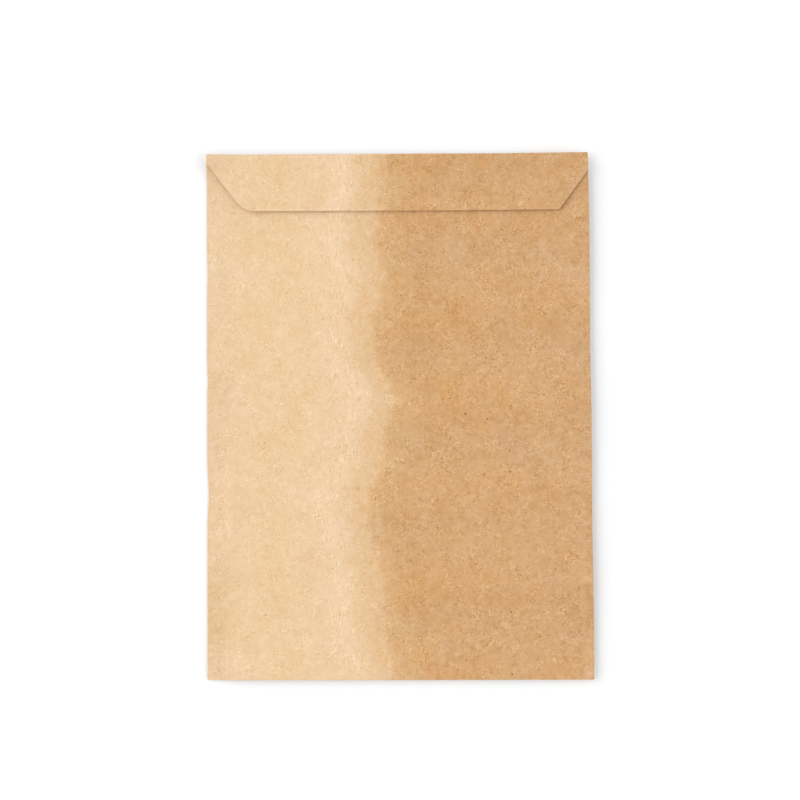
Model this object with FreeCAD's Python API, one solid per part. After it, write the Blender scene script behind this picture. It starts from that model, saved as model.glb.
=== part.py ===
import FreeCAD, Part
import math
import os

# A flat kraft paper bag for papers and catalogues, lying on its back with its flap folded shut.
#
# It is one sheet, cut out and then folded. The back panel runs up from the bottom fold, turns
# over at the top fold and comes down over the front as the flap. The front panel runs up from
# the same bottom fold and ends at the mouth, hidden under the flap. Its two sides are folded
# round behind and glued to the back as narrow tabs, which are what the bag rests on. Between
# front and back is the empty pocket, open at the mouth.
#
# X runs across the bag, Y up it towards the flap, and Z out of its front. The origin is at the
# middle of the bag's outline, on the surface that it lies on.

Vector = FreeCAD.Vector

# ---- Driving dimensions, in millimetres ----

BAG_WIDTH = 240.0           # over the two side folds
BAG_HEIGHT = 330.0          # from the bottom fold to the top fold
PAPER = 0.15                # thickness of the kraft

BELLY = 3.0                 # how far the front bows off the back at its highest
MOUTH_GAPE = 0.5            # how far the middle of the mouth stands open
MOUTH_DROP = 4.0            # from the top fold down to the cut edge of the front

TAB_WIDTH = 15.0            # of each glued tab, from the side fold
TAB_TAPER = 10.0            # how much shorter a tab is along its free edge, at each end

FLAP_DEPTH_LEFT = 36.1      # from the top fold to the free edge's left corner
FLAP_DEPTH_RIGHT = 36.4     # and to its right one, because the flap was folded a little askew
FLAP_SHOULDER_LEFT = 5.5    # from the top fold down to where the left end starts to slant in
FLAP_SHOULDER_RIGHT = 11.5
FLAP_INSET_LEFT = 22.9      # how far in from the panel's side the left corner lies
FLAP_INSET_RIGHT = 18.6
FLAP_ROUND_LEFT = 11.0      # radius of the left corner
FLAP_ROUND_RIGHT = 0.8      # radius of the right corner, which is cut nearly sharp
FLAP_GAP = 0.2              # air between the flap and the front along the middle of the mouth
FLAP_LIFT = 1.5             # how much further the middle of the free edge springs up

# ---- Places that follow from them ----

TAB_Z = 0.0                                   # underside of the tabs, and of the whole bag
BACK_Z = TAB_Z + PAPER                        # underside of the back panel
FRONT_Z = BACK_Z + PAPER                      # underside of the front panel at its rim
SIDE_FOLD = (FRONT_Z + PAPER - TAB_Z) / 2     # outer radius of a fold round tab, back and front
BOTTOM_FOLD = PAPER                           # outer radius of the pressed bottom fold
TOP_FOLD_INSIDE = PAPER + MOUTH_GAPE + FLAP_GAP
TOP_FOLD = TOP_FOLD_INSIDE / 2 + PAPER        # outer radius of the open fold over the mouth

PANEL_X = BAG_WIDTH / 2 - SIDE_FOLD           # half the width of the flat panels
BOTTOM_Y = -BAG_HEIGHT / 2 + BOTTOM_FOLD      # where both panels leave the bottom fold
MOUTH_Y = BAG_HEIGHT / 2 - MOUTH_DROP
TOP_Y = BAG_HEIGHT / 2 - TOP_FOLD             # where the back and the flap meet the top fold
TRIM = 6.0                                    # spare paper round the flap before it is cut


def belly_pole():
    """Middle control height of the parabola up the front, so that its top is BELLY."""
    return BELLY + math.sqrt(BELLY * (BELLY - MOUTH_GAPE))


def crown(y):
    """How far the middle of the front stands off its rim at height y."""
    s = (y - BOTTOM_Y) / (MOUTH_Y - BOTTOM_Y)
    return 2 * s * (1 - s) * belly_pole() + s * s * MOUTH_GAPE


def bowed_sheet(y_from, y_to, rim_heights, crown_heights):
    """Paper that is a parabola across the bag and another one up it.

    rim_heights are the three control heights of its sides, from y_from to y_to, and
    crown_heights are how far its middle line stands above them, in the same way.
    """
    surface = Part.BezierSurface()
    surface.increase(2, 2)
    for row, (rim, rise) in enumerate(zip(rim_heights, crown_heights)):
        y = y_from + (y_to - y_from) * row / 2
        surface.setPole(1, row + 1, Vector(-PANEL_X, y, rim))
        surface.setPole(2, row + 1, Vector(0, y, rim + 2 * rise))
        surface.setPole(3, row + 1, Vector(PANEL_X, y, rim))
    return surface.toShape().extrude(Vector(0, 0, PAPER))


def front_panel():
    heights = (0, belly_pole(), MOUTH_GAPE)
    return bowed_sheet(BOTTOM_Y, MOUTH_Y, (FRONT_Z, FRONT_Z, FRONT_Z), heights)


def back_panel():
    corner = Vector(-PANEL_X, BOTTOM_Y, BACK_Z)
    return Part.makeBox(2 * PANEL_X, TOP_Y - BOTTOM_Y, PAPER, corner)


def half_round(centre, start, middle, end):
    """Edge from start to end round centre, by way of the direction of middle."""
    radius = (start - centre).Length
    return Part.Arc(start, centre + middle * radius, end).toShape()


def side_fold(side):
    """The front's side pressed flat round the back panel's edge, solid with its glue."""
    x = side * PANEL_X
    low = Vector(x, BOTTOM_Y, TAB_Z)
    high = Vector(x, BOTTOM_Y, TAB_Z + 2 * SIDE_FOLD)
    arc = half_round((low + high) / 2, low, Vector(side, 0, 0), high)
    section = Part.Face(Part.Wire([arc, Part.makeLine(high, low)]))
    return section.extrude(Vector(0, MOUTH_Y - BOTTOM_Y, 0))


def glue_tab(side):
    """The front's narrow tab, glued to the outside of the back panel, with its ends cut at a slant."""
    fold_x = side * PANEL_X
    free_x = side * (BAG_WIDTH / 2 - TAB_WIDTH)
    corners = [
        Vector(fold_x, BOTTOM_Y, TAB_Z),
        Vector(free_x, BOTTOM_Y + TAB_TAPER, TAB_Z),
        Vector(free_x, MOUTH_Y - TAB_TAPER, TAB_Z),
        Vector(fold_x, MOUTH_Y, TAB_Z),
    ]
    outline = Part.makePolygon(corners + corners[:1])
    return Part.Face(outline).extrude(Vector(0, 0, PAPER))


def bottom_fold():
    """The sharp fold that joins the front and back panels along the bottom."""
    low = Vector(-PANEL_X, BOTTOM_Y, BACK_Z)
    high = Vector(-PANEL_X, BOTTOM_Y, FRONT_Z + PAPER)
    arc = half_round((low + high) / 2, low, Vector(0, -1, 0), high)
    section = Part.Face(Part.Wire([arc, Part.makeLine(high, low)]))
    return section.extrude(Vector(2 * PANEL_X, 0, 0))


def top_fold():
    """The round fold that carries the back panel over the mouth into the flap."""
    low_in = Vector(-PANEL_X, TOP_Y, FRONT_Z)
    high_in = low_in + Vector(0, 0, TOP_FOLD_INSIDE)
    low_out = low_in - Vector(0, 0, PAPER)
    high_out = high_in + Vector(0, 0, PAPER)
    centre = (low_in + high_in) / 2
    up_the_bag = Vector(0, 1, 0)
    edges = [
        half_round(centre, low_out, up_the_bag, high_out),
        Part.makeLine(high_out, high_in),
        half_round(centre, high_in, up_the_bag, low_in),
        Part.makeLine(low_in, low_out),
    ]
    return Part.Face(Part.Wire(edges)).extrude(Vector(2 * PANEL_X, 0, 0))


def flap_cutter():
    """The flap's outline as a block: a shoulder, a slanted end and a corner each side."""
    top = BAG_HEIGHT / 2
    reach = PANEL_X + TRIM
    left_corner = Vector(FLAP_INSET_LEFT - PANEL_X, top - FLAP_DEPTH_LEFT, 0)
    right_corner = Vector(PANEL_X - FLAP_INSET_RIGHT, top - FLAP_DEPTH_RIGHT, 0)
    corners = [
        left_corner,
        right_corner,
        Vector(PANEL_X, top - FLAP_SHOULDER_RIGHT, 0),
        Vector(reach, top - FLAP_SHOULDER_RIGHT, 0),
        Vector(reach, top + TRIM, 0),
        Vector(-reach, top + TRIM, 0),
        Vector(-reach, top - FLAP_SHOULDER_LEFT, 0),
        Vector(-PANEL_X, top - FLAP_SHOULDER_LEFT, 0),
    ]
    outline = Part.makePolygon(corners + corners[:1])
    block = Part.Face(outline).extrude(Vector(0, 0, 2 * (BELLY + TOP_FOLD + FLAP_LIFT + TRIM)))
    block = round_upright(block, left_corner, FLAP_ROUND_LEFT)
    return round_upright(block, right_corner, FLAP_ROUND_RIGHT)


def round_upright(block, corner, radius):
    """The block with the edge that stands on the corner point rounded."""
    edges = [e for e in block.Edges if e.BoundBox.DiagonalLength > TRIM and stands_on(e, corner)]
    return block.makeFillet(radius, edges)


def stands_on(edge, corner):
    return all(math.hypot(v.X - corner.x, v.Y - corner.y) < PAPER / 2 for v in edge.Vertexes)


def flap():
    """The end of the back panel, bowed over the front and a little lifted at its free edge."""
    low_y = BAG_HEIGHT / 2 - max(FLAP_DEPTH_LEFT, FLAP_DEPTH_RIGHT) - TRIM
    low_rise = crown(low_y) - MOUTH_GAPE
    middle_rise = crown((low_y + TOP_Y) / 2) - MOUTH_GAPE
    rises = (low_rise, 2 * middle_rise - low_rise / 2, 0)
    rim = FRONT_Z + TOP_FOLD_INSIDE
    free_y = (BAG_HEIGHT - FLAP_DEPTH_LEFT - FLAP_DEPTH_RIGHT) / 2
    low_lift = FLAP_LIFT * ((TOP_Y - low_y) / (TOP_Y - free_y)) ** 2
    sheet = bowed_sheet(low_y, TOP_Y, (rim + low_lift, rim, rim), rises)
    return sheet.common(flap_cutter())


def paper_bag():
    pieces = [back_panel(), bottom_fold(), top_fold(), flap()]
    for side in (-1, 1):
        pieces.append(side_fold(side))
        pieces.append(glue_tab(side))
    return front_panel().multiFuse(pieces).removeSplitter()


bag = paper_bag()
os.makedirs("parts", exist_ok=True)
bag.exportStep("parts/paper_bag.step")

cut_area = bag.Volume / PAPER / 1e6
print(f"paper_bag: {len(bag.Solids)} solid, valid {bag.isValid()}, cut from {cut_area:.4f} square metres")
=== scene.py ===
import math
from types import SimpleNamespace

import bpy
import numpy as np
from bpy.props import FloatProperty, FloatVectorProperty, IntProperty, PointerProperty
from mathutils import Euler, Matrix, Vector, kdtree


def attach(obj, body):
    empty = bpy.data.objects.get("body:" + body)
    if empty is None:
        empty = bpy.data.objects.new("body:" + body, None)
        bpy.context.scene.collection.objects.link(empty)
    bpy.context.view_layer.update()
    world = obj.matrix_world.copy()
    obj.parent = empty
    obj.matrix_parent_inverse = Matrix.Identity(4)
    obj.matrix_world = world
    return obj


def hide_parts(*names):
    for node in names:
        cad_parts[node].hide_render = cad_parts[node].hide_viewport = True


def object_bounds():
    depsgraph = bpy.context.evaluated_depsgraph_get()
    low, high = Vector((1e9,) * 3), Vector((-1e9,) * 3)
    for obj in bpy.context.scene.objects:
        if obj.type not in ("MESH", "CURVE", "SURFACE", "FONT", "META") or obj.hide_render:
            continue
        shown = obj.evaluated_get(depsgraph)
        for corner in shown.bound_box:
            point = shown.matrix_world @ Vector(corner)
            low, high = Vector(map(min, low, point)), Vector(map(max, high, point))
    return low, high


# The looks of a flat kraft paper bag, lying on its back with its flap folded shut.
#
# The bag is one sheet. It is laid out flat here as it leaves the die, with the front panel and its two
# glue tabs below the bottom fold, the back panel above it, and the flap beyond the top fold. A node
# tree then folds it, and each vertex keeps its place on the flat sheet as its UV, so that the grain of
# the paper runs through the folds. All lengths are in metres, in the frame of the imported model.

bl_info = {
    "name": "Kraft Paper Bag",
    "version": (1, 0, 0),
    "blender": (4, 5, 0),
    "location": "View3D > Sidebar > Paper Bag",
    "description": "Folds a flat kraft paper bag from its cut sheet and lays it on a white table",
    "category": "Add Mesh",
}

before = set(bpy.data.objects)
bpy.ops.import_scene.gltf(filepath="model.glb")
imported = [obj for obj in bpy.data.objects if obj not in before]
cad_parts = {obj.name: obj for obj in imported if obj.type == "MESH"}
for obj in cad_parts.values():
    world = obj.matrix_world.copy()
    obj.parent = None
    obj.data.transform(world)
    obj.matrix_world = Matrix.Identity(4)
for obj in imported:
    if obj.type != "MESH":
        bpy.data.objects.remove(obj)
CAD_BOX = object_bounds()
CAD_NODE = "paper_bag"

MM = 0.001
BLANK_MAP = "blank"         # UV map: where a point lies on the flat sheet, in metres
BAKE_MAP = "OFBake"         # UV map: the sheet's panels packed into one square

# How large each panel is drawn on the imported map, and where its corner goes.
FRONT_ON_MAP = SimpleNamespace(scale=2.6, corner=(0.004, 0.004))
BACK_ON_MAP = SimpleNamespace(scale=1.15, corner=(0.715, 0.004))
INSIDE_ON_MAP = SimpleNamespace(scale=0.8, corner=(0.75, 0.42))
FLAP_CLEAR = 2 * MM         # between the front and the flap there, on the sheet's scale


def srgb(red, green, blue):
    """A screen's colour, from 0 to 255, as the linear values that a shader takes."""
    def linear(value):
        part = value / 255
        return part / 12.92 if part <= 0.04045 else ((part + 0.055) / 1.055) ** 2.4
    return tuple(linear(value) for value in (red, green, blue))


# ---- What a user may change ----


def length(name, description, default):
    return FloatProperty(
        name=name, description=description, default=default, unit="LENGTH", precision=5
    )


def both_ends(name, description, left, right):
    return FloatVectorProperty(
        name=name, description=description, default=(left, right), unit="LENGTH", precision=5, size=2
    )


def share(name, description, default):
    return FloatProperty(name=name, description=description, default=default, min=0.0, soft_max=2.0)


def angle(name, description, degrees):
    default = math.radians(degrees)
    return FloatProperty(name=name, description=description, default=default, unit="ROTATION")


def colour(name, description, default):
    return FloatVectorProperty(
        name=name, description=description, default=default, subtype="COLOR", size=3, min=0.0, max=1.0
    )


class PaperBagSizes(bpy.types.PropertyGroup):
    """Sizes of the folded bag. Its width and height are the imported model's."""

    width: length("Width", "Over the two side folds", CAD_BOX[1].x - CAD_BOX[0].x)
    height: length("Height", "From the bottom fold to the top fold", CAD_BOX[1].y - CAD_BOX[0].y)
    paper: length("Paper", "Thickness of the kraft", 0.15 * MM)
    belly: length("Belly", "How far the front bows off the back", 2.6 * MM)
    mouth_gape: length("Mouth gape", "How far the middle of the mouth stands open", 0.5 * MM)
    mouth_drop: length("Mouth drop", "From the top fold down to the front's cut edge", 4 * MM)
    tab_width: length("Tab width", "Of each glued tab, from the side fold", 15 * MM)
    tab_taper: length("Tab taper", "How much shorter a tab's free edge is at each end", 10 * MM)
    flap_depth: both_ends("Flap depth", "From the top fold to each corner", 35.95 * MM, 36.3 * MM)
    flap_shoulder: both_ends("Shoulders", "Where each end starts to slant", 5.5 * MM, 11.5 * MM)
    flap_inset: both_ends("Insets", "How far in each corner lies", 23.1 * MM, 18.3 * MM)
    flap_round: both_ends("Rounding", "Radius of each corner", 11 * MM, 0.8 * MM)
    flap_gap: length("Flap gap", "Air between the flap and the front", 0.2 * MM)
    flap_spring: length("Flap spring", "How far the middle of the free edge springs up", 1.6 * MM)
    flap_lift: both_ends("Flap lift", "How much more its ends spring up", 1.8 * MM, 0.3 * MM)
    side_lift: both_ends("Side lift", "How far each side springs off the table", 0.6 * MM, 4.2 * MM)
    bottom_lift: length("Bottom lift", "How far the bottom edge springs off the table", 3.7 * MM)
    top_lift: length("Top lift", "How far the top fold springs off the table", 3.4 * MM)
    corner_lift: both_ends("Corner lift", "How much more each top corner rises", 2.4 * MM, 0.7 * MM)
    loose: length("Loose sides", "How far each side fold stands out from a sharp crease", 0.44 * MM)
    askew: length("Askew", "How far left of the bottom fold the top fold lies", 1.08 * MM)
    ridge: length("Ridge", "Height of the soft ridge down the front", 0.2 * MM)
    cockle_height: length("Cockle height", "Height of the paper's slight waves", 0.12 * MM)
    cockle_size: length("Cockle size", "From one slight wave to the next", 32 * MM)
    spacing: length("Mesh spacing", "Between the vertices of a flat panel", 2.4 * MM)
    seed: IntProperty(name="Seed", description="Picks the pattern of the waves", default=7)


class PaperBagFinish(bpy.types.PropertyGroup):
    """The kraft's colours and how strongly they vary."""

    back_kraft: colour("Back", "Colour of the back and the inside", srgb(214, 172, 124))
    fleck: colour("Flecks", "Colour of the dark shives in the pulp", srgb(148, 97, 42))
    grain: share("Grain", "Strength of the fine grain", 1.0)
    mottle: share("Mottle", "Strength of the cloudy mottling", 1.0)
    relief: length("Relief", "Depth of the fibres in the surface", 0.008 * MM)
    roughness: share("Roughness", "Of the uncoated surface", 0.82)
    sheen: share("Sheen", "Strength of the surface's faint shine", 0.2)


class StudioLook(bpy.types.PropertyGroup):
    """The white table, the lamps and the camera above it."""

    camera_place: FloatVectorProperty(
        name="Camera place", description="Where the camera stands", default=(0.0204, -0.0508, 1.1864),
        unit="LENGTH", size=3,
    )
    camera_turn: FloatVectorProperty(
        name="Camera turn", description="From looking straight down", subtype="EULER", size=3,
        default=tuple(math.radians(a) for a in (2.912, 0.957, -0.2)),
    )
    lens: FloatProperty(name="Lens", description="Focal length", default=85.0, unit="CAMERA")
    window_share: share("Window", "Part of the light that comes from the left", 0.3)
    window_bearing: angle("Window bearing", "How far it is turned from the bag's top to its left", 78)
    fill_share: share("Fill", "Part of the light that comes from the right", 0.15)
    fill_bearing: angle("Fill bearing", "How far it is turned from the bag's top to its left", -98)
    lamp_width: angle("Lamp width", "How wide the two lamps look from the table", 66)
    lamp_lean: angle("Lamp lean", "How far their middles lie from straight overhead", 58)
    table_size: length("Table size", "Half the side of the white table", 6.0)
    table_drop: length("Table drop", "How far the table lies under the bag", 0.02 * MM)
    table_white: colour("Table white", "Colour of the table", (0.89, 0.9, 0.91))
    table_glow: share("Table glow", "Light added to what is seen of the table", 0.145)


# ---- Sizes that follow from them ----

PRESSED_RADIUS = 0.9        # of the bottom fold, as a share of the paper's thickness


def follow(bag):
    """The folds' radii and the lengths along the flat sheet, with v at 0 where the back starts."""
    s = SimpleNamespace()
    s.half_paper = bag.paper / 2
    s.back_z = bag.paper + s.half_paper
    s.bottom_radius = PRESSED_RADIUS * bag.paper
    s.front_z = s.back_z + 2 * s.bottom_radius
    s.side_radius = (s.front_z - s.half_paper) / 2
    s.top_radius = (bag.mouth_gape + bag.flap_gap + 2 * bag.paper) / 2
    s.fold_depth = s.top_radius + s.half_paper

    s.panel_x = bag.width / 2 - s.side_radius - s.half_paper
    s.bottom_y = s.half_paper + s.bottom_radius - bag.height / 2
    s.top_y = bag.height / 2 - s.half_paper - s.top_radius
    s.mouth_y = bag.height / 2 - bag.mouth_drop

    s.side_arc = math.pi * s.side_radius
    s.bottom_arc = math.pi * s.bottom_radius
    s.top_arc = math.pi * s.top_radius
    s.tab_v = bag.tab_width - s.side_radius - s.half_paper
    s.back_v = s.top_y - s.bottom_y
    s.front_v = -s.bottom_arc
    s.mouth_v = s.front_v - (s.mouth_y - s.bottom_y)
    s.flap_v = s.back_v + s.top_arc
    return s


def smooth(low, high, value):
    """0 below low and 1 above high, with an easy curve between."""
    t = np.clip((value - low) / (high - low), 0, 1)
    return t * t * (3 - 2 * t)


def swell(value, centre, reach):
    """1 at centre, fading to nothing over about twice the reach."""
    return np.exp(-(((value - centre) / reach) ** 2))


# ---- The flat sheet ----

BESIDE_FOLD = np.array((0.3, 1.0)) * MM     # how far from each fold the two rows beside it lie
PRESSED_STEPS = 8           # faces round a pressed fold
OPEN_STEPS = 12             # and round the open one at the top
CORNER_STEPS = 8            # and round each corner of the flap
ROW_CLEAR = 0.3             # how near a row of the flap may lie to a corner's own row, in rows


def stations(start, end, spacing):
    """Evenly spaced places from start to end, with two closer ones at each end, beside the folds."""
    even = np.linspace(start, end, max(2, round(abs(end - start) / spacing) + 1))
    near = BESIDE_FOLD * np.sign(end - start)
    return np.concatenate([even[:1], start + near, even[1:-1], end - near[::-1], even[-1:]])


def round_corner(corner, before, after, radius):
    """Points along the arc that rounds the corner between the straights to before and after."""
    corner, before, after = (np.array(p, float) for p in (corner, before, after))
    a = (before - corner) / np.linalg.norm(before - corner)
    b = (after - corner) / np.linalg.norm(after - corner)
    half_angle = math.acos(np.dot(a, b)) / 2
    tangent = radius / math.tan(half_angle)
    middle = corner + (a + b) / np.linalg.norm(a + b) * radius / math.sin(half_angle)
    first, last = corner + a * tangent - middle, corner + b * tangent - middle
    turn = math.acos(np.dot(first, last) / radius**2)
    return [
        middle + (first * math.sin((1 - t) * turn) + last * math.sin(t * turn)) / math.sin(turn)
        for t in np.linspace(0, 1, CORNER_STEPS + 1)
    ]


def flap_end(bag, side):
    """The sizes of the flap's left end, where side is -1, or of its right one."""
    names = ("inset", "depth", "shoulder", "round", "lift")
    return SimpleNamespace(**{name: getattr(bag, "flap_" + name)[side > 0] for name in names})


def flap_outline(bag, s, side):
    """Points down one end of the flap: how far across each lies, and how far below the top fold."""
    here, there = flap_end(bag, side), flap_end(bag, -side)
    corner = (side * (s.panel_x - here.inset), here.depth)
    other = (-side * (s.panel_x - there.inset), there.depth)
    start = (side * s.panel_x, here.shoulder)
    top = (side * s.panel_x, s.fold_depth)
    return np.array([top, start, *round_corner(corner, start, other, here.round)])


def flap_patch(bag, s, columns):
    """Rows of points across the flap, from the top fold to its free edge."""
    ends = [flap_outline(bag, s, side) for side in (-1, 1)]
    shares = [(end[:, 1] - end[0, 1]) / (end[-1, 1] - end[0, 1]) for end in ends]
    corners = np.unique(np.round(np.concatenate(shares), 6))
    even = np.linspace(0, 1, round(bag.flap_depth[0] / bag.spacing))
    clear = [t for t in even if np.abs(corners - t).min() > ROW_CLEAR / len(even)]
    across = (columns - columns[0]) / (columns[-1] - columns[0])
    rows = []
    for t in np.sort(np.concatenate([corners, clear])):
        left, right = (
            np.array([np.interp(t, part, end[:, 0]), np.interp(t, part, end[:, 1])])
            for end, part in zip(ends, shares)
        )
        points = left + (right - left) * across[:, None]
        rows.append(np.column_stack([points[:, 0], s.flap_v + points[:, 1] - s.fold_depth]))
    return np.array(rows)


def tab_patch(bag, s, side, rows):
    """Columns of points out over one side fold and its tab, which narrows towards its free edge."""
    fold = np.linspace(0, s.side_arc, PRESSED_STEPS + 1)
    flat = stations(s.side_arc, s.side_arc + s.tab_v, bag.spacing)[1:]
    low, high = rows[0], rows[-1]
    columns = []
    for out in np.concatenate([fold, flat]):
        taper = bag.tab_taper * max(0.0, out - s.side_arc) / s.tab_v
        v = low + taper + (rows - low) * (1 - 2 * taper / (high - low))
        columns.append(np.column_stack([np.full(len(v), side * (s.panel_x + out)), v]))
    columns = columns if side > 0 else columns[::-1]
    return np.array(columns).transpose(1, 0, 2)


def flat_faces(patches):
    """The patches' points welded into one list, and the quads between them, seen from the inside."""
    points, quads, start = [], [], 0
    for patch in patches:
        rows, columns = patch.shape[:2]
        number = start + np.arange(rows * columns).reshape(rows, columns)
        quad = np.stack([number[:-1, :-1], number[:-1, 1:], number[1:, 1:], number[1:, :-1]], -1)
        points.append(patch.reshape(-1, 2))
        quads.append(quad.reshape(-1, 4))
        start += rows * columns
    points, quads = np.concatenate(points), np.concatenate(quads)
    _, first, welded = np.unique(np.round(points, 8), axis=0, return_index=True, return_inverse=True)
    return points[first], welded.ravel()[quads]


def cut_edges(quads):
    """Directed edges that only one quad has, which are the cut edges of the sheet."""
    edges = np.concatenate([quads[:, [i, (i + 1) % 4]] for i in range(4)])
    have = {tuple(e) for e in edges.tolist()}
    return np.array([e for e in edges.tolist() if (e[1], e[0]) not in have])


def sheet_points(bag, s):
    """Points, quads and cut edges of the flat sheet."""
    columns = stations(-s.panel_x, s.panel_x, bag.spacing)
    front = stations(s.mouth_v, s.front_v, bag.spacing)
    rows = np.concatenate([
        front,
        np.linspace(s.front_v, 0, PRESSED_STEPS + 1)[1:],
        stations(0, s.back_v, bag.spacing)[1:],
        np.linspace(s.back_v, s.flap_v, OPEN_STEPS + 1)[1:],
    ])
    middle = np.stack(np.meshgrid(columns, rows), -1)
    patches = [middle, flap_patch(bag, s, columns)]
    patches += [tab_patch(bag, s, side, front) for side in (-1, 1)]
    points, quads = flat_faces(patches)
    return points, quads, cut_edges(quads)


# ---- How the paper stands once it is folded ----

# Where the bag springs up, sways and is ridged: its left or bottom edge is -1, its right or top one 1.
SPRINGS_FROM = SimpleNamespace(left=-0.8, right=0.1, bottom=-0.6, top=0.7, corner=0.88)
SWAYS_FROM = 0.75
RIDGE_PLACE = -0.3

LIFT_WAVE = SimpleNamespace(swing=0.06, radian=17 * MM, start=1.1)      # in the right side's lift
CORNER_KEEPS = 0.15         # how much of the bottom's lift its left corner keeps
RIDGE_REACH = 16 * MM
RIDGE_FADE = 0.1            # share of the front over which each end of the ridge fades
FLAP_SETTLES = 10 * MM      # how far below the top fold the flap has come down on the front
FLAP_END_STARTS = 7 * MM    # and where its ends' own spring is full
FLAP_END_REACH = 17 * MM    # how far in from a slanted end that spring reaches
LEFT_DENTS = ((0.3, 89, 9), (0.4, 22, 6), (0.85, -50, 12))      # depth, place and reach, in mm
LEFT_BULGE = 0.13 * MM      # how far that side stands out between them
RIGHT_WAVE = SimpleNamespace(swing=0.15 * MM, start=105 * MM, length=118 * MM)  # of the right side
COCKLES_FROM = 25 * MM      # how far from its folds the paper cockles freely
FLAP_COCKLE = 0.6           # and how much of that the flap does
FOLD_WEAR = 0.8 * MM        # how far from a fold its wear reaches
# the flap's cut edge is drawn paler, as raw pulp and as a painted highlight where it catches the light
CUT_EDGE_REACH = 0.9 * MM         # and in from the flap's cut edge


def lies_at(s, u, v):
    """About where a point of the flat sheet lies on the folded bag, seen from above."""
    over_side = np.abs(u) - s.panel_x
    x = np.sign(u) * (np.minimum(np.abs(u), s.panel_x) - np.maximum(over_side - s.side_arc, 0))
    up_front, down_flap = np.maximum(s.front_v - v, 0), np.maximum(v - s.flap_v, 0)
    return x, s.bottom_y + up_front + np.clip(v, 0, s.back_v) - down_flap


def table_lift(bag, s, x, y):
    """How far the whole bag springs off the table, which is most at its edges."""
    out, up = x / s.panel_x, y / (bag.height / 2)
    left, right = smooth(SPRINGS_FROM.left, -1.0, out), smooth(SPRINGS_FROM.right, 1.0, out)
    bottom, top = smooth(SPRINGS_FROM.bottom, -1.0, up), smooth(SPRINGS_FROM.top, 1.0, up)
    corner = smooth(SPRINGS_FROM.corner, 1.0, up)
    left_lift, right_lift = bag.side_lift
    left_more, right_more = bag.corner_lift
    height = right_lift * (1 + LIFT_WAVE.swing * np.sin(y / LIFT_WAVE.radian + LIFT_WAVE.start)) * right
    height += (bag.bottom_lift - height) * bottom
    height += (bag.top_lift - height) * top * (1 - right) + right_more * top * right
    height += (left_lift - height) * left * (1 - corner) * (1 - CORNER_KEEPS * bottom)
    return height + left_more * left * corner


def belly_rise(bag, s, x, y):
    """How far the front stands off its rim: a bow across and up the bag, with a soft ridge in it."""
    up = np.clip((y - s.bottom_y) / (s.mouth_y - s.bottom_y), 0, 1)
    pole = bag.belly + math.sqrt(bag.belly * (bag.belly - bag.mouth_gape))
    bow = 2 * up * (1 - up) * pole + up**2 * bag.mouth_gape
    across = 1 - (x / s.panel_x) ** 2
    ridge = bag.ridge * swell(x, RIDGE_PLACE * s.panel_x, RIDGE_REACH) * smooth(0, RIDGE_FADE, up)
    return across * bow + ridge * smooth(1, 1 - RIDGE_FADE, up)


def flap_rise(bag, s, x, y):
    """How far the flap stands above where the top fold sets it down."""
    down = s.top_y - y
    on_front = s.front_z + belly_rise(bag, s, x, y) + bag.paper + bag.flap_gap
    top = s.back_z + 2 * s.top_radius
    spring = bag.flap_spring * np.clip(down / bag.flap_depth[0], 0, None)
    for side in (-1, 1):
        end = flap_end(bag, side)
        slant = end.inset * np.clip((down - end.shoulder) / (end.depth - end.shoulder), 0, 1)
        fading = np.exp(-(s.panel_x - side * x - slant) / FLAP_END_REACH)
        spring += end.lift * smooth(0, FLAP_END_STARTS, down) * fading
    return (on_front - top) * smooth(0, FLAP_SETTLES, down) + spring


def side_sway(bag, s, x, y):
    """How far the sides wander from straight, with three dents on the left and waves on the right."""
    left = smooth(-SWAYS_FROM * s.panel_x, -s.panel_x, x)
    right = smooth(SWAYS_FROM * s.panel_x, s.panel_x, x)
    dents = sum(depth * MM * swell(y, place * MM, reach * MM) for depth, place, reach in LEFT_DENTS)
    waves = RIGHT_WAVE.swing * np.cos(2 * math.pi * (y - RIGHT_WAVE.start) / RIGHT_WAVE.length)
    lean = -bag.askew * y / bag.height
    return lean + left * (dents - LEFT_BULGE - bag.loose) + right * (waves + bag.loose)


def spring_of(bag, s, u, v):
    """How far each point of the sheet moves from where the plain folds put it."""
    x, y = lies_at(s, u, v)
    on_front = (v < s.front_v) & (np.abs(u) <= s.panel_x)
    on_flap = v > s.flap_v
    rise = table_lift(bag, s, x, y)
    rise += np.where(on_front, belly_rise(bag, s, x, y), 0)
    rise += np.where(on_flap, flap_rise(bag, s, x, y), 0)
    return np.column_stack([side_sway(bag, s, x, y), np.zeros(len(u)), rise])


def slack_of(s, u, v):
    """How free the paper is to cockle: not at all at its folds, on the back and on the tabs."""
    to_fold = np.minimum(np.abs(v), np.abs(v - s.front_v))
    to_fold = np.minimum(to_fold, np.minimum(np.abs(v - s.back_v), np.abs(v - s.flap_v)))
    to_fold = np.minimum(to_fold, np.abs(np.abs(u) - s.panel_x))
    on_back = (v > 0) & (v < s.back_v)
    on_tab = np.abs(u) > s.panel_x
    free = smooth(0, COCKLES_FROM, to_fold) * np.where(v > s.flap_v, FLAP_COCKLE, 1.0)
    return np.where(on_back | on_tab, 0, free)


def half_turn(turned):
    """An easy curve from 0 to 1 as paper turns over in a fold."""
    return (1 - np.cos(math.pi * turned)) / 2


def faces_up(s, u, v):
    """1 where the sheet's outside faces up once it is folded, 0 where it faces the table."""
    bottom = half_turn(np.clip(-v / s.bottom_arc, 0, 1))
    top = half_turn(np.clip((v - s.back_v) / s.top_arc, 0, 1))
    side = half_turn(np.clip((np.abs(u) - s.panel_x) / s.side_arc, 0, 1))
    return bottom * (1 - side) + top


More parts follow.
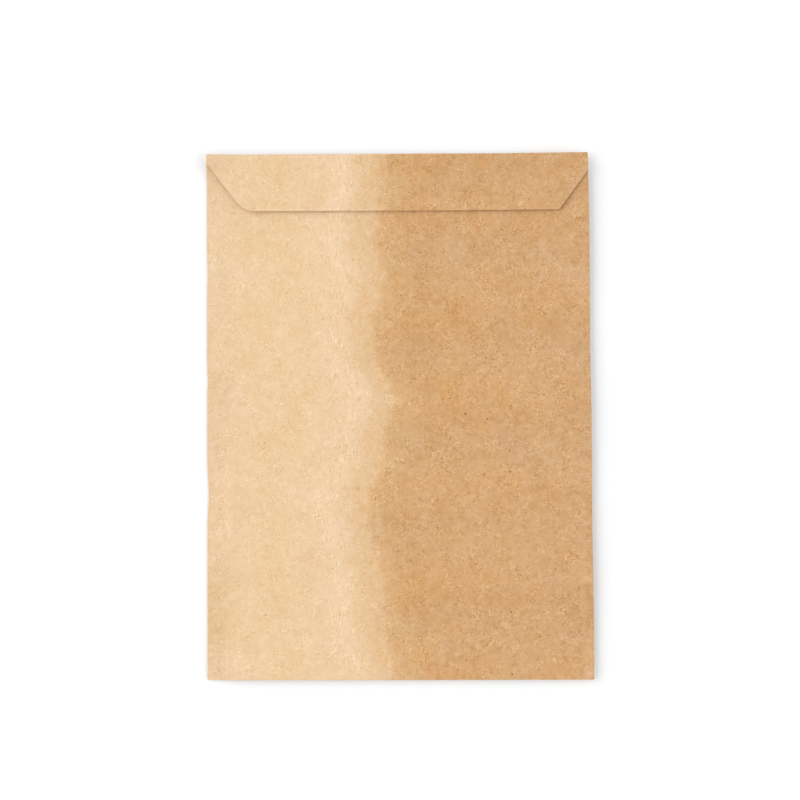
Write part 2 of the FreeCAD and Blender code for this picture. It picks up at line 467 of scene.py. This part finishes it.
def near_folds(s, u, v):
    """1 on a fold, fading to 0 within about 2 mm."""
    to_bottom = np.abs(v + s.bottom_arc / 2)
    to_top = np.abs(v - s.back_v - s.top_arc / 2)
    to_side = np.where(v < 0, np.abs(np.abs(u) - s.panel_x - s.side_arc / 2), np.inf)
    return np.exp(-np.minimum(np.minimum(to_bottom, to_top), to_side) / FOLD_WEAR)


def distance_to(edges, points):
    """How far each point of the flat sheet is from its nearest cut edge."""
    middles = points[edges].mean(1)
    tree = kdtree.KDTree(len(middles) + len(edges))
    for i, (u, v) in enumerate(np.concatenate([middles, points[edges[:, 0]]])):
        tree.insert((u, v, 0), i)
    tree.balance()
    return np.array([tree.find((u, v, 0))[2] for u, v in points])


# ---- From points to a mesh ----


def on_packed_map(s, flat, inside):
    """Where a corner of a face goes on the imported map, by the panel that it belongs to."""
    u, v = flat[:, 0], flat[:, 1]
    tab_x = s.panel_x + s.side_arc + s.tab_v
    flap_from = s.flap_v - s.top_arc / 2
    above_front = s.back_v + s.mouth_v - FLAP_CLEAR
    blocks = (
        (inside, INSIDE_ON_MAP, tab_x, s.mouth_v),
        (~inside & (v > flap_from), FRONT_ON_MAP, tab_x, above_front),
        (~inside & (v <= 0), FRONT_ON_MAP, tab_x, s.mouth_v),
        (~inside & (v > 0) & (v <= flap_from), BACK_ON_MAP, s.panel_x, 0),
    )
    placed = np.zeros_like(flat)
    for chosen, block, left, low in blocks:
        spot = np.column_stack([u + left, v - low]) * block.scale + block.corner
        placed[chosen] = spot[chosen]
    return placed


def add_map(mesh, name, places):
    """Adds a UV map that puts the corners of the faces at those places."""
    mesh.uv_layers.new(name=name).uv.foreach_set("vector", places.astype(np.float32).ravel())


def store(mesh, name, kind, values):
    """Keeps a value for each vertex in the mesh, for the node trees to read."""
    attribute = mesh.attributes.new(name, kind, "POINT")
    field = "vector" if kind == "FLOAT_VECTOR" else "value"
    attribute.data.foreach_set(field, np.asarray(values, np.float32).ravel())


def mark_sharp(mesh, edges):
    """Keeps those edges sharp when the faces are shaded smooth."""
    around = {tuple(sorted(e)) for e in edges.tolist()}
    sharp = [tuple(sorted(e.vertices)) in around for e in mesh.edges]
    mesh.attributes.new("sharp_edge", "BOOLEAN", "EDGE").data.foreach_set("value", sharp)


def blank_mesh(bag, s):
    """The flat sheet as a closed slab of paper, lying with its inside up."""
    points, quads, edges = sheet_points(bag, s)
    count = len(points)
    rim = np.stack([edges[:, 1], edges[:, 0], edges[:, 0] + count, edges[:, 1] + count], -1)
    faces = np.concatenate([quads, quads[:, ::-1] + count, rim])
    flat = np.tile(points, (2, 1))
    height = np.repeat([s.half_paper, -s.half_paper], count)
    mesh = bpy.data.meshes.new("kraft_blank")
    mesh.from_pydata(np.column_stack([flat, height]).tolist(), [], faces.tolist())

    corners = flat[faces.ravel()]
    inside = np.repeat(np.arange(len(faces)) < len(quads), 4)
    add_map(mesh, BLANK_MAP, corners)
    add_map(mesh, BAKE_MAP, on_packed_map(s, corners, inside))

    u, v = flat[:, 0], flat[:, 1]
    outside = height < 0
    # near the flap's cut edge, which is drawn paler with a painted highlight
    near_cut = np.exp(-np.tile(distance_to(edges, points), 2) / CUT_EDGE_REACH) * (v > s.flap_v)
    store(mesh, "spring", "FLOAT_VECTOR", spring_of(bag, s, u, v))
    store(mesh, "slack", "FLOAT", slack_of(s, u, v))
    store(mesh, "faces_up", "FLOAT", faces_up(s, u, v) * outside)
    store(mesh, "near_fold", "FLOAT", near_folds(s, u, v) * outside)
    store(mesh, "near_cut", "FLOAT", near_cut)
    mark_sharp(mesh, np.concatenate([edges, edges + count]))
    return mesh


# ---- Node trees ----

WAVE_DETAIL = 1.5           # how many finer waves the cockles carry
WAVE_GAIN = 4.0             # brings noise, which strays about a quarter each way, to about 1


class Graph:
    """Adds nodes to a tree and joins them, so that a formula can be written as calls."""

    def __init__(self, tree):
        self.tree = tree

    def add(self, kind, **settings):
        node = self.tree.nodes.new(kind)
        for name, value in settings.items():
            setattr(node, name, value)
        return node

    def feed(self, socket, value):
        """Joins the socket to another one, or sets it to a plain value."""
        if isinstance(value, bpy.types.NodeSocket):
            self.tree.links.new(value, socket)
        else:
            socket.default_value = value

    def fed(self, node, values):
        """The node's first output, once its inputs are fed in order."""
        for socket, value in zip(node.inputs, values):
            self.feed(socket, value)
        return node.outputs[0]

    def math(self, operation, *values):
        return self.fed(self.add("ShaderNodeMath", operation=operation), values)

    def vector_math(self, operation, *values):
        return self.fed(self.add("ShaderNodeVectorMath", operation=operation), values)

    def join(self, *parts):
        return self.fed(self.add("ShaderNodeCombineXYZ"), parts)

    def total(self, first, *others):
        for value in others:
            first = self.math("ADD", first, value)
        return first

    def product(self, first, *others):
        for value in others:
            first = self.math("MULTIPLY", first, value)
        return first

    def minus(self, value, less):
        return self.math("SUBTRACT", value, less)

    def within(self, value, low, high):
        return self.math("MINIMUM", self.math("MAXIMUM", value, low), high)

    def split(self, vector):
        node = self.add("ShaderNodeSeparateXYZ")
        self.feed(node.inputs[0], vector)
        return node.outputs

    def between(self, value, low, high, to_low=0.0, to_high=1.0, kind="LINEAR"):
        """Brings a value that lies from low to high to where it lies from to_low to to_high."""
        node = self.add("ShaderNodeMapRange", interpolation_type=kind)
        return self.fed(node, (value, low, high, to_low, to_high))

    def by_share(self, part, none, full):
        return self.between(part, 0.0, 1.0, none, full)

    def noise(self, vector, size, detail=0.0, roughness=0.5, shift=0.0, distortion=0.0):
        """Smooth noise about 0, with lumps of that size. The shift picks another pattern."""
        outputs = self.fill(
            self.add("ShaderNodeTexNoise", noise_dimensions="4D"),
            Vector=vector, W=shift, Scale=1 / size,
            Detail=detail, Roughness=roughness, Distortion=distortion,
        )
        return self.minus(outputs[0], 0.5)

    def fill(self, node, **values):
        """The node's outputs, once its inputs are fed by name."""
        for name, value in values.items():
            self.feed(node.inputs[name], value)
        return node.outputs


def new_material(name):
    """A material, the Graph of its nodes, and its shader's inputs."""
    material = bpy.data.materials.new(name)
    material.use_nodes = True
    return material, Graph(material.node_tree), material.node_tree.nodes["Principled BSDF"].inputs


def new_tree(name, inputs, outputs):
    """A group of geometry nodes with those sockets, its Graph, and its input and output nodes."""
    tree = bpy.data.node_groups.new(name, "GeometryNodeTree")
    sockets = {}
    for way, wanted in (("INPUT", inputs), ("OUTPUT", outputs)):
        for title, kind in wanted.items():
            sockets[title] = tree.interface.new_socket(name=title, in_out=way, socket_type=kind)
    graph = Graph(tree)
    given, result = graph.add("NodeGroupInput").outputs, graph.add("NodeGroupOutput").inputs
    return tree, graph, given, result, sockets


def fold_group():
    """How far a point moves along and off the sheet where the sheet is turned back on itself."""
    inputs = dict.fromkeys(("Past", "Radius", "Height"), "NodeSocketFloat")
    outputs = dict.fromkeys(("Along", "Off"), "NodeSocketFloat")
    tree, g, given, result, _ = new_tree("Turn Back", inputs, outputs)
    arc = g.product(given["Radius"], math.pi)
    turn = g.math("DIVIDE", g.within(given["Past"], 0.0, arc), given["Radius"])
    reach = g.minus(given["Radius"], given["Height"])
    beyond = g.math("MAXIMUM", g.minus(given["Past"], arc), 0.0)
    g.feed(result["Along"], g.minus(g.product(reach, g.math("SINE", turn)), beyond))
    g.feed(result["Off"], g.product(reach, g.minus(1.0, g.math("COSINE", turn))))
    return tree


def folding_tree():
    """Folds the flat sheet into the bag, lets it spring and cockle, and gives it its material."""
    sizes = ("Panel Half Width", "Bottom Edge", "Back Length", "Back Height",
             "Side Radius", "Bottom Radius", "Top Radius", "Cockle Height", "Cockle Size")
    outputs = {"Geometry": "NodeSocketGeometry"}
    inputs = {**outputs, **dict.fromkeys(sizes, "NodeSocketFloat")}
    inputs.update({"Seed": "NodeSocketInt", "Material": "NodeSocketMaterial"})
    tree, g, given, result, sockets = new_tree("Folded Kraft Bag", inputs, outputs)
    tree.is_modifier = True
    fold = fold_group()
    u, v, height = g.split(g.add("GeometryNodeInputPosition").outputs[0])
    out = g.math("ABSOLUTE", u)

    def turned(past, radius):
        node = g.add("GeometryNodeGroup", node_tree=fold)
        return g.fill(node, Past=past, Radius=given[radius], Height=height)

    side = turned(g.minus(out, given["Panel Half Width"]), "Side Radius")
    bottom = turned(g.product(v, -1.0), "Bottom Radius")
    top = turned(g.minus(v, given["Back Length"]), "Top Radius")

    across = g.total(g.math("MINIMUM", out, given["Panel Half Width"]), side["Along"])
    up_back = g.within(v, 0.0, given["Back Length"])
    up = g.minus(g.total(given["Bottom Edge"], up_back, top["Along"]), bottom["Along"])
    over = g.minus(g.total(given["Back Height"], height, bottom["Off"], top["Off"]), side["Off"])
    folded = g.join(g.product(across, g.math("SIGN", u)), up, over)

    def attribute(name, kind):
        node = g.add("GeometryNodeInputNamedAttribute", data_type=kind)
        return g.fill(node, Name=name)["Attribute"]

    waves = g.fill(
        g.add("ShaderNodeTexNoise", noise_dimensions="4D"), Vector=g.join(u, v, 0.0), W=given["Seed"],
        Scale=g.math("DIVIDE", 1.0, given["Cockle Size"]), Detail=WAVE_DETAIL,
    )
    wave = g.minus(waves[0], 0.5)
    cockle = g.product(wave, given["Cockle Height"], WAVE_GAIN, attribute("slack", "FLOAT"))

    place = g.vector_math("ADD", folded, attribute("spring", "FLOAT_VECTOR"))
    place = g.vector_math("ADD", place, g.join(0.0, 0.0, cockle))
    bag = given["Geometry"]
    for kind, values in (
        ("GeometryNodeSetPosition", {"Position": place}),
        ("GeometryNodeSetShadeSmooth", {}),
        ("GeometryNodeRealizeInstances", {}),
        ("GeometryNodeSetMaterial", {"Material": given["Material"]}),
    ):
        bag = g.fill(g.add(kind), Geometry=bag, **values)[0]
    g.feed(result["Geometry"], bag)
    return tree, sockets


def fold_up(piece, values):
    """Runs the folding tree on the flat sheet, and keeps its result as the piece's own mesh."""
    tree, sockets = folding_tree()
    modifier = piece.modifiers.new("Folding", "NODES")
    modifier.node_group = tree
    for name, value in values.items():
        modifier[sockets[name].identifier] = value
    depsgraph = bpy.context.evaluated_depsgraph_get()
    folded = bpy.data.meshes.new_from_object(piece.evaluated_get(depsgraph))
    piece.modifiers.remove(modifier)
    flat, piece.data = piece.data, folded
    bpy.data.meshes.remove(flat)


# ---- The kraft ----

# The front is paler on the left and darker and browner on the right. The edge between them wanders as
# these waves: the length of each and how far it swings, in mm, and how far round it starts, in degrees.
TONE_EDGE_X = -15.5 * MM
TONE_EDGE_WAVES = (
    (164, 4.3, 58), (84, 2.5, 76), (116, 2.2, 135), (60, 2.2, -19), (43, 1.2, 5), (37, 0.9, -13),
)
TONE_EDGE_RAGGED = 14 * MM               # how far lumps in the pulp push it to and fro
DARKENS = (-4 * MM, 14 * MM)        # how far right of it the kraft starts to darken, and ends
PALEST = -20 * MM                   # where it is palest
STREAKS_SHOW = (14 * MM, 4 * MM)    # how far from there streaks start to show, and show fully

# The colours across that edge: how far right of it each lies, in mm, and its red, green and blue.
TONE_AND_HIGHLIGHT_COLOURS = (
    (-105, 234, 202, 163),
    (-92, 238, 205, 164),
    (-55, 238, 204, 161),
    (-34, 239, 205, 164),
    # a painted highlight along the soft ridge down the front, paler than the kraft on either side
    (-21, 242, 210, 171),
    (-13, 238, 204, 163),
    (-7, 233, 196, 153),
    (-1, 232, 194, 149),
    (2, 230, 191, 145),
    (6, 223, 180, 132),
    (10, 219, 175, 126),
    (15, 217, 173, 123),
    (24, 214, 168, 118),
    (130, 213, 168, 121),
)

# Faint bands lie across the darker part, in turn darker, warmer, paler and cooler.
BAND_SPACING = 57.6 * MM
BAND_SHADE = -0.035
BAND_WARMTH = 0.017

# How a change of shade scales red, green and blue: about evenly to the eye for fine grain, and mostly
# blue for wider changes, such as stains, which turn the kraft browner or greyer.
GRAIN_TINT = (0.78, 1.22, 1.85)
STAIN_TINT = (0.25, 0.5, 1.0)
WARM_TINT = (0.74, 0.22, -1.0)

# How strongly each pattern shows, or how strongly from the palest kraft to the darkest.
CLOUDS = 0.63
CLOUDS_GROW = (1.0, 1.6)
WARM_CLOUDS = (0.06, 0.16)
FINE_GRAIN = 0.42
COARSE_GRAIN = 0.12
STREAKS = 0.35
SMALL_MOTTLE = 0.16
GRAIN_GROWS = (1.0, 1.95)
BLOTCHES = (-0.02, -0.14)
DARK_FIBRES = -0.035
PALE_FIBRES = 0.03
FLECKS_COVER = (0.32, 0.9)
WORN_FOLDS = (-0.03, 0.04)          # where a fold is dulled, and where it is rubbed pale
# how much paler the flap's cut edge is drawn: raw pulp and a painted highlight
CUT_EDGE_PALE_AND_HIGHLIGHT = 0.03
DARK_FIBRE_DEPTH = -0.5
PALE_FIBRE_HEIGHT = 0.7

STREAK_STRETCH = (1.0, 0.15, 1.0)   # draws the streaks out up the bag
FIBRE_WIDTH = 0.04                  # how far the noise strays across half a fibre
FIBRES_SHOW = (0.03, 0.11)          # noise at which fibres start to show, and show fully
SMALLEST_FLECK = 0.35               # as a share of the largest
FLECK_CORE = 0.45                   # how much of a fleck is fully dark

# Places where the kraft is stained or cleaner: each one's middle and its reach, across and up the bag
# in mm, and its strength.
STAINS = (
    (-114, -113, 12, 18, -0.15),
    (-65, 5, 7, 11, -0.09),
    (-69, -109, 17, 13, -0.05),
    (-28, -46, 4, 1.2, -0.3),
    (30, 56, 60, 7, -0.03),
    (98, -22, 15, 20, 0.07),
    (-66, -51, 20, 9, 0.045),
    (-68, 80, 20, 22, 0.035),
    (-91, -92, 22, 2.2, 0.05),
    (-90, -156, 24, 7, 0.04),
    (-106.5, -68, 2, 8, 0.16),
    (-36, 96, 5, 9, 0.05),
    (-22, 13, 6, 6, 0.06),
    (-70, 164, 60, 3, 0.05),
    (-12, 125, 8, 17, 0.15),
    (55, -141, 8, 7, 0.11),
    (-15, -80, 7, 9, 0.09),
    (63, -91, 8, 7, 0.09),
    (54, 26, 9, 8, 0.1),
    (-35, 41, 8, 9, 0.08),
    (23, -87, 9, 8, -0.07),
    (21, 154, 3, 2, -0.2),
    (112, -150, 8, 9, 0.09),
)

# Places where it is rubbed pale or dulled by handling, or carries painted shade, given in the same way.
RUBS_AND_PAINTED_SHADE = (
    # painted shade along the top fold on the right, where the fold curves over
    (55, 160, 75, 7, -0.035),
    (55, 141, 60, 5, -0.035),
    (60, -25, 60, 6, -0.038),
    (60, -113, 60, 6, -0.038),
    (-114, -135, 8, 24, -0.07),
    (-117, 97, 4, 14, 0.08),
    (-5, 32, 7, 10, -0.065),
    (117, -103, 3, 2.5, 0.2),
    (117, -150, 4, 13, 0.03),
    (118.5, -161, 2.5, 2.5, 0.14),
    (115, 82, 3, 4, 0.04),
    (119, 44, 2, 8, -0.07),
    (119, -32, 2, 9, -0.06),
    (119, -118, 2, 8, -0.06),
)


def tone_and_highlight_ramp(g, past):
    """The kraft's colour, with its painted highlight along the soft ridge, from how far right of the
    pale part's edge a place lies.
    """
    low, high = TONE_AND_HIGHLIGHT_COLOURS[0][0] * MM, TONE_AND_HIGHLIGHT_COLOURS[-1][0] * MM
    ramp = g.add("ShaderNodeValToRGB")
    g.feed(ramp.inputs[0], g.between(past, low, high))
    stops = ramp.color_ramp.elements
    for place, *_ in TONE_AND_HIGHLIGHT_COLOURS[1:-1]:
        stops.new((place * MM - low) / (high - low))
    for stop, (_, *kraft) in zip(stops, TONE_AND_HIGHLIGHT_COLOURS):
        stop.color = (*srgb(*kraft), 1)
    return ramp.outputs["Color"]


def tone_and_highlight_colour(g, x, y, flat):
    """The colour of the front by place, with its painted highlight along the ridge, how dark a place is
    and how pale, both from 0 to 1.
    """
    edge = TONE_EDGE_X
    for wave_length, swing, phase in TONE_EDGE_WAVES:
        around = g.math("MULTIPLY_ADD", y, 2 * math.pi / (wave_length * MM), math.radians(phase))
        edge = g.math("MULTIPLY_ADD", g.math("SINE", around), swing * MM, edge)
    lumps = g.noise(flat, 7 * MM, detail=2.0, roughness=0.7, shift=3.1)
    past = g.total(g.minus(x, edge), g.product(lumps, TONE_EDGE_RAGGED))
    off_palest = g.math("ABSOLUTE", g.minus(past, PALEST))
    dark = g.between(past, *DARKENS, kind="SMOOTHSTEP")
    return tone_and_highlight_ramp(g, past), dark, g.between(off_palest, *STREAKS_SHOW)


def spots(g, x, y, flat, places):
    """The sum of all the places' strengths, each fading out raggedly from its middle."""
    lumps = g.noise(flat, 5 * MM, detail=2.0, roughness=0.7, shift=8.7)
    result = 0.0
    for middle_x, middle_y, reach_x, reach_y, strength in places:
        across = g.math("DIVIDE", g.minus(x, middle_x * MM), reach_x * MM)
        up = g.math("DIVIDE", g.minus(y, middle_y * MM), reach_y * MM)
        out = g.total(g.product(across, across), g.product(up, up))
        faint = g.math("POWER", math.e, g.product(out, -1.0))
        result = g.math("MULTIPLY_ADD", faint, strength, result)
    return g.product(result, g.between(lumps, -0.2, 0.2, to_low=0.3, to_high=1.7))


def threads(g, flat, size, shift):
    """Thin curled lines, like single fibres, that come and go."""
    line = g.math("ABSOLUTE", g.noise(flat, size, detail=1.0, shift=shift, distortion=0.6))
    drawn = g.between(line, FIBRE_WIDTH, 0.0, kind="SMOOTHSTEP")
    shown = g.between(g.noise(flat, size * 1.7, shift=shift + 5.0), *FIBRES_SHOW)
    return g.product(drawn, shown)


def flecks(g, flat, cell, reach, keep):
    """Small dark specks of up to that reach, in the cells of the pulp that draw more than keep."""
    node = g.add("ShaderNodeTexVoronoi", voronoi_dimensions="2D", feature="F1")
    cells = g.fill(node, Vector=flat, Scale=1 / cell)
    draw = g.split(cells["Color"])[0]
    size = g.product(g.between(draw, keep, 1.0, SMALLEST_FLECK, 1.0), reach / cell)
    out = g.math("DIVIDE", cells["Distance"], size)
    speck = g.between(out, 1.0, FLECK_CORE, kind="SMOOTHSTEP")
    return g.product(speck, g.math("GREATER_THAN", draw, keep))


def kept(g, name):
    """What the mesh keeps under that name."""
    return g.add("ShaderNodeAttribute", attribute_name=name).outputs["Fac"]


def mix(g, amount, below, above):
    """The colour below where the amount is 0, and the one above where it is 1."""
    node = g.add("ShaderNodeMix", data_type="RGBA", clamp_factor=True)
    g.feed(node.inputs[0], amount)
    g.feed(node.inputs[6], below)
    g.feed(node.inputs[7], above)
    return node.outputs[2]


def shade(g, base, amount, tint):
    """The base colour made brighter by that amount, or darker below 0, in the tint's ratio."""
    scale = g.vector_math("MULTIPLY_ADD", g.join(amount, amount, amount), tint, (1.0, 1.0, 1.0))
    return g.vector_math("MULTIPLY", base, scale)


def bands(g, y, dark):
    """The faint bands across the darker part: how bright a place is, and how warm."""
    around = g.product(y, 2 * math.pi / BAND_SPACING)
    bright = g.product(g.math("COSINE", around), dark, BAND_SHADE)
    return bright, g.product(g.math("SINE", around), dark, BAND_WARMTH)


def clouds(g, flat, darkened, mottle):
    """Wide mottling: how bright a place is, and how warm."""
    wide = g.noise(flat, 22 * MM, detail=3.0, roughness=1.0, shift=9.5)
    bright = g.product(wide, CLOUDS, g.by_share(darkened, *CLOUDS_GROW), mottle)
    warm = g.noise(flat, 17 * MM, detail=1.0, roughness=1.0, shift=31.0)
    return bright, g.product(warm, mottle, g.by_share(darkened, *WARM_CLOUDS))


def grain(g, flat, darkened, palest, finish):
    """Fine grain, rougher in some places than in others, with streaks in the palest part."""
    fine = g.noise(flat, 0.7 * MM, detail=1.0, roughness=0.8, shift=1.3, distortion=0.5)
    coarse = g.noise(flat, 1.5 * MM, shift=2.6, distortion=0.5)
    along = g.vector_math("MULTIPLY", flat, STREAK_STRETCH)
    streaks = g.noise(along, 0.7 * MM, detail=1.0, shift=51.0)
    lumps = g.noise(flat, 9 * MM, detail=2.0, roughness=0.8, shift=7.3)
    small = g.noise(flat, 5.5 * MM, detail=1.0, roughness=1.0, shift=4.4)
    grains = g.total(
        g.product(fine, FINE_GRAIN),
        g.product(coarse, COARSE_GRAIN),
        g.product(streaks, palest, STREAKS),
    )
    rough = g.between(lumps, -0.13, 0.15, to_low=0.1, to_high=2.15)
    grains = g.product(grains, rough, finish.grain)
    body = g.product(small, SMALL_MOTTLE, finish.mottle)
    return g.product(g.total(grains, body), g.by_share(darkened, *GRAIN_GROWS))


def blotches(g, flat, dark):
    """Small dark blotches in clusters."""
    cluster = g.between(g.noise(flat, 15 * MM, detail=1.0, shift=14.0), -0.04, 0.12)
    blotch = g.between(g.noise(flat, 2.4 * MM, detail=1.0, shift=12.0), 0.04, 0.25)
    return g.product(blotch, cluster, g.by_share(dark, *BLOTCHES))


def wear_and_painted_light(g, x, y, flat, up):
    """Rubbed and dulled folds, a paler flap's cut edge with a painted highlight on it, and single
    rubbed or dulled places, one of them painted shade along the top fold on the right.
    """
    patches = g.noise(flat, 6 * MM, detail=2.0, shift=13.0)
    return g.total(
        g.product(kept(g, "near_fold"), g.between(patches, -0.1, 0.25, *WORN_FOLDS)),
        # the flap's cut edge drawn paler, as raw pulp and as a painted highlight
        g.product(kept(g, "near_cut"), CUT_EDGE_PALE_AND_HIGHLIGHT),
        g.product(spots(g, x, y, flat, RUBS_AND_PAINTED_SHADE), up),
    )


def fibre_relief(g, flat, dark_fibre, pale_fibre, depth):
    """The rough surface, with the dark fibres sunk in it and the pale ones lying on it."""
    rough = g.noise(flat, 0.7 * MM, detail=2.0, roughness=0.7, shift=21.0)
    sunk, raised = g.product(dark_fibre, DARK_FIBRE_DEPTH), g.product(pale_fibre, PALE_FIBRE_HEIGHT)
    height = g.total(rough, sunk, raised)
    return g.fill(g.add("ShaderNodeBump"), Strength=1.0, Distance=depth, Height=height)[0]


def kraft_paper(finish):
    """Uncoated kraft: a front paler on the left, cloudy mottling, grain, fibres and flecks, rubbed
    folds, and painted highlights and shade along the ridge and some edges.
    """
    material, g, shader = new_material("kraft_paper")
    flat = g.add("ShaderNodeUVMap", uv_map=BLANK_MAP).outputs["UV"]
    x, y, _ = g.split(g.add("ShaderNodeTexCoord").outputs["Object"])
    up = kept(g, "faces_up")
    front_tone_and_highlight, dark, palest = tone_and_highlight_colour(g, x, y, flat)
    darkened = g.product(dark, up)

    band, warm_band = bands(g, y, dark)
    cloud, warm_cloud = clouds(g, flat, darkened, finish.mottle)
    stain = g.product(g.total(band, spots(g, x, y, flat, STAINS)), up)
    # the front's tone, with its painted highlight along the ridge, or the plain back kraft where the
    # sheet faces down
    kraft = mix(g, up, (*finish.back_kraft, 1), front_tone_and_highlight)
    kraft = shade(g, kraft, g.total(cloud, stain), STAIN_TINT)
    kraft = shade(g, kraft, g.total(warm_cloud, g.product(warm_band, up)), WARM_TINT)

    dark_fibre = threads(g, flat, 2.2 * MM, shift=11.0)
    pale_fibre = threads(g, flat, 1.9 * MM, shift=17.0)
    fibres = g.total(g.product(dark_fibre, DARK_FIBRES), g.product(pale_fibre, PALE_FIBRES))
    grains = grain(g, flat, darkened, palest, finish)
    # includes a painted highlight on the flap's cut edge and painted shade along the top fold on the
    # right
    worn_and_lit = wear_and_painted_light(g, x, y, flat, up)
    kraft = shade(g, kraft, g.total(grains, blotches(g, flat, dark), fibres, worn_and_lit), GRAIN_TINT)
    large = flecks(g, flat, cell=14 * MM, reach=1.0 * MM, keep=0.87)
    small = flecks(g, flat, cell=8 * MM, reach=0.5 * MM, keep=0.85)
    cover = g.product(g.total(large, small), g.by_share(darkened, *FLECKS_COVER))
    kraft = mix(g, cover, kraft, (*finish.fleck, 1))

    g.feed(shader["Base Color"], kraft)
    g.feed(shader["Normal"], fibre_relief(g, flat, dark_fibre, pale_fibre, finish.relief))
    shader["Roughness"].default_value = finish.roughness
    shader["Specular IOR Level"].default_value = finish.sheen
    return material


# ---- The stage ----


def put_in_scene(name, data):
    thing = bpy.data.objects.new(name, data)
    bpy.context.scene.collection.objects.link(thing)
    return thing


def seen_directly(g):
    """1 for what the camera sees, straight, in a mirror or through glass."""
    path = g.add("ShaderNodeLightPath").outputs
    straight = g.math("MAXIMUM", path["Is Camera Ray"], path["Is Glossy Ray"])
    return g.math("MAXIMUM", straight, path["Is Transmission Ray"])


def white_table(look):
    """A white table top, just under the bag, that keeps the bag's shadow."""
    half, top = look.table_size, -look.table_drop
    corners = [(-half, -half, top), (half, -half, top), (half, half, top), (-half, half, top)]
    mesh = bpy.data.meshes.new("table_top")
    mesh.from_pydata(corners, [], [(0, 1, 2, 3)])
    material, g, shader = new_material("white_table")
    shader["Base Color"].default_value = (*look.table_white, 1)
    shader["Roughness"].default_value = 1.0
    shader["Specular IOR Level"].default_value = 0.0
    shader["Emission Color"].default_value = (1, 1, 1, 1)
    g.feed(shader["Emission Strength"], g.product(seen_directly(g), look.table_glow))
    mesh.materials.append(material)
    put_in_scene("table_top", mesh)


def soft_sky(look):
    """Even light from all round, seen as plain white."""
    world = bpy.data.worlds.new("white_room")
    bpy.context.scene.world = world
    world.use_nodes = True
    g = Graph(world.node_tree)
    rest = 1 - look.window_share - look.fill_share
    strength = g.by_share(seen_directly(g), rest, 1.0)
    g.fill(world.node_tree.nodes["Background"], Color=(1, 1, 1, 1), Strength=strength)


def soft_light(look, name, part, bearing):
    """A wide soft lamp that gives that part of all the light on the table."""
    lamp = bpy.data.lights.new(name, "SUN")
    lamp.energy = part * math.pi / math.cos(look.lamp_lean)
    lamp.angle = look.lamp_width
    put_in_scene(name, lamp).rotation_euler = Euler((look.lamp_lean, 0, math.pi + bearing))


def camera_above(look):
    """The camera that looks down on the bag."""
    data = bpy.data.cameras.new("above")
    data.lens = look.lens
    camera = put_in_scene("above", data)
    camera.location = look.camera_place
    camera.rotation_euler = Euler(look.camera_turn)
    bpy.context.scene.camera = camera


# ---- Operators and panel ----


class OBJECT_OT_paper_bag(bpy.types.Operator):
    """Cut, fold and paint the kraft paper bag"""

    bl_idname = "paper_bag.fold"
    bl_label = "Paper Bag"

    def execute(self, context):
        bag = context.scene.paper_bag_sizes
        s = follow(bag)
        piece = put_in_scene("kraft_bag", blank_mesh(bag, s))
        fold_up(piece, {
            "Panel Half Width": s.panel_x,
            "Bottom Edge": s.bottom_y,
            "Back Length": s.back_v,
            "Back Height": s.back_z,
            "Side Radius": s.side_radius,
            "Bottom Radius": s.bottom_radius,
            "Top Radius": s.top_radius,
            "Cockle Height": bag.cockle_height,
            "Cockle Size": bag.cockle_size,
            "Seed": bag.seed,
            "Material": kraft_paper(context.scene.paper_bag_finish),
        })
        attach(piece, "root")
        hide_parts(CAD_NODE)
        return {"FINISHED"}


class OBJECT_OT_paper_bag_stage(bpy.types.Operator):
    """Set up the white table, the light and the camera"""

    bl_idname = "paper_bag.stage"
    bl_label = "Stage"

    def execute(self, context):
        look = context.scene.paper_bag_look
        white_table(look)
        soft_sky(look)
        soft_light(look, "window", look.window_share, look.window_bearing)
        soft_light(look, "softbox", look.fill_share, look.fill_bearing)
        camera_above(look)
        context.scene.view_settings.view_transform = "Standard"
        return {"FINISHED"}


class VIEW3D_PT_paper_bag(bpy.types.Panel):
    """Lists the bag's sizes and colours with the buttons that make it"""

    bl_label = "Paper Bag"
    bl_space_type = "VIEW_3D"
    bl_region_type = "UI"
    bl_category = "Paper Bag"

    def draw(self, context):
        scene = context.scene
        parts = (
            (OBJECT_OT_paper_bag, scene.paper_bag_sizes),
            (None, scene.paper_bag_finish),
            (OBJECT_OT_paper_bag_stage, scene.paper_bag_look),
        )
        for operator, settings in parts:
            box = self.layout.box()
            for name in settings.__annotations__:
                box.prop(settings, name)
            if operator:
                box.operator(operator.bl_idname)


SETTINGS = {
    "paper_bag_sizes": PaperBagSizes, "paper_bag_finish": PaperBagFinish, "paper_bag_look": StudioLook
}
CLASSES = (
    *SETTINGS.values(), OBJECT_OT_paper_bag, OBJECT_OT_paper_bag_stage, VIEW3D_PT_paper_bag,
)


def register():
    for cls in CLASSES:
        bpy.utils.register_class(cls)
    for name, group in SETTINGS.items():
        setattr(bpy.types.Scene, name, PointerProperty(type=group))


def unregister():
    for name in SETTINGS:
        delattr(bpy.types.Scene, name)
    for cls in reversed(CLASSES):
        bpy.utils.unregister_class(cls)


def main():
    register()
    bpy.ops.paper_bag.fold()
    bpy.ops.paper_bag.stage()


if __name__ == "__main__":
    main()
